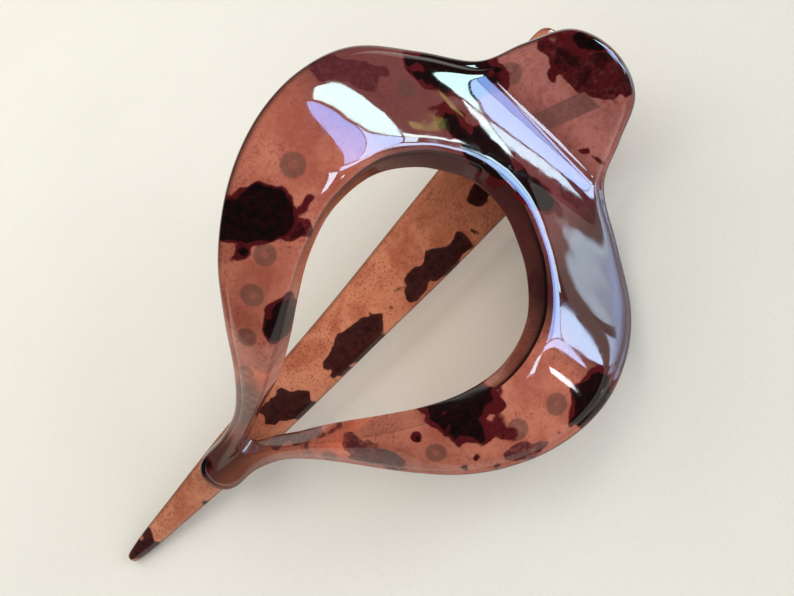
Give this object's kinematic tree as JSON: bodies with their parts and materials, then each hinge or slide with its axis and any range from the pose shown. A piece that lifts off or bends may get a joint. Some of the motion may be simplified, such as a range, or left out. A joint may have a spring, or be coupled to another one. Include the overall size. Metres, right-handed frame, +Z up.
{
  "type": "beak hair clip",
  "caption": "Beak-style hair clip: an open heart-shaped loop arched over a tapering prong, opened against a torsion spring by pressing the lever and thumb tab together.",
  "frame": {"origin": "centre of the box's base, on the surface that the clip lies on", "axes": "+X along the clip from the prong's tip towards the lever, +Z up; the clip leans 40 degrees about X onto its right lobe, so its own left side is towards +Y and up"},
  "size_m": [0.1206, 0.0532, 0.0471],
  "materials": {
    "shell_plastic": "gloss",
    "prong_plastic": "gloss",
    "pin_steel": "satin",
    "spring_steel": "satin"
  },
  "bodies": {
    "prong": {"prong": "prong_plastic"},
    "shell": {"top_shell": "shell_plastic", "hinge_pin": "pin_steel", "torsion_spring": "spring_steel"}
  },
  "joints": [
    {"name": "clip_hinge", "type": "hinge", "parent": "prong", "child": "shell", "pos_m": [0.04388, 0.01204, 0.01058], "axis": [-0.0289, 0.7638, 0.6448], "range_deg": [0, 30], "stiffness_Nm_per_rad": 0.15, "springref_deg": -22.92, "deforming": ["torsion_spring"]}
  ]
}
